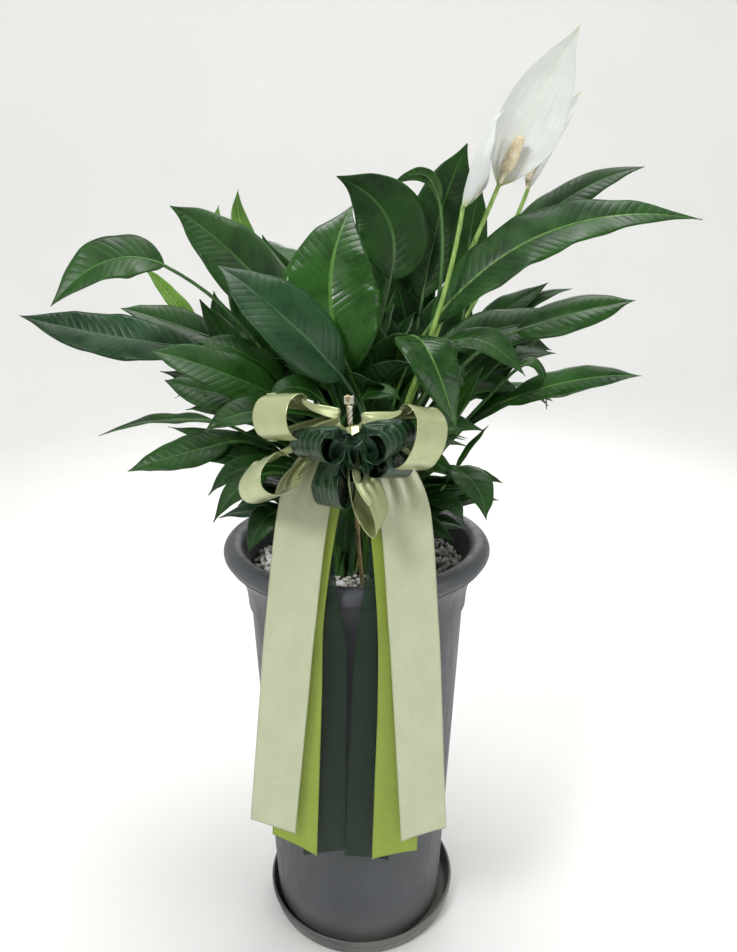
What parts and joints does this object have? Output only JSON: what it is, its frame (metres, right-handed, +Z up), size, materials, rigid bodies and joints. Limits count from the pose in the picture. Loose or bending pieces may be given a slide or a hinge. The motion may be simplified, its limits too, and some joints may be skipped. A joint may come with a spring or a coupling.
{
  "type": "potted peace lily",
  "caption": "Leafy house plant with white hooded flowers in a tall flared pot on a saucer, with a gift bow and hanging ribbon tails on a stake.",
  "frame": {"origin": "on the pot's axis, on the flat underside of the saucer", "axes": "+Z up along the pot's axis, -Y towards the front where the bow and the ribbon tails hang, +X to the right seen from the front"},
  "size_m": [0.6439, 0.5086, 0.9646],
  "materials": {
    "pot_plastic": "matte, dark grey, moulded",
    "soil": "damp potting soil",
    "gravel": "loose pale chips",
    "leaf": "glossy dark green, ribbed by its veins",
    "flower_stalk": "satin, pale green",
    "spathe": "soft white, slightly translucent",
    "spadix": "matte cream, knobbly",
    "cream_satin": "cream satin ribbon",
    "lime_satin": "lime green satin ribbon",
    "dark_satin": "dark green ribbon, sheer in the tails",
    "wood": "plain split cane",
    "tie": "off-white coated wire"
  },
  "bodies": {
    "root": {"pot": "pot_plastic", "saucer": "pot_plastic", "soil": "soil", "gravel": "gravel", "leaf_front_1": "leaf", "leaf_front_2": "leaf", "leaf_front_3": "leaf", "leaf_front_4": "leaf", "leaf_front_5": "leaf", "leaf_front_6": "leaf", "leaf_left_1": "leaf", "leaf_left_2": "leaf", "leaf_left_3": "leaf", "leaf_left_4": "leaf", "leaf_left_5": "leaf", "leaf_left_6": "leaf", "leaf_left_7": "leaf", "leaf_left_8": "leaf", "leaf_left_9": "leaf", "leaf_top_1": "leaf", "leaf_top_2": "leaf", "leaf_right_1": "leaf", "leaf_right_2": "leaf", "leaf_right_3": "leaf", "leaf_right_4": "leaf", "leaf_right_5": "leaf", "leaf_right_6": "leaf", "leaf_right_7": "leaf", "leaf_right_8": "leaf", "leaf_back_1": "leaf", "leaf_back_2": "leaf", "leaf_back_3": "leaf", "leaf_back_4": "leaf", "leaf_back_5": "leaf", "leaf_back_6": "leaf", "leaf_back_7": "leaf", "leaf_back_8": "leaf", "flower_1_stalk": "flower_stalk", "flower_1_spathe": "spathe", "flower_1_spadix": "spadix", "flower_2_stalk": "flower_stalk", "flower_2_spathe": "spathe", "flower_2_spadix": "spadix", "flower_3_stalk": "flower_stalk", "flower_3_spathe": "spathe", "flower_3_spadix": "spadix", "bow_stake": "wood", "ribbon_tail_dark_left": "dark_satin", "ribbon_tail_dark_right": "dark_satin", "ribbon_tail_lime_left": "lime_satin", "ribbon_tail_lime_right": "lime_satin", "ribbon_tail_cream_left": "cream_satin", "ribbon_tail_cream_right": "cream_satin", "bow_loop_cream_left_upper": "cream_satin", "bow_loop_cream_left_lower": "cream_satin", "bow_loop_cream_right": "cream_satin", "bow_loop_cream_low": "cream_satin", "bow_loop_dark_left": "dark_satin", "bow_loop_dark_right": "dark_satin", "bow_tie": "tie"}
  },
  "joints": []
}
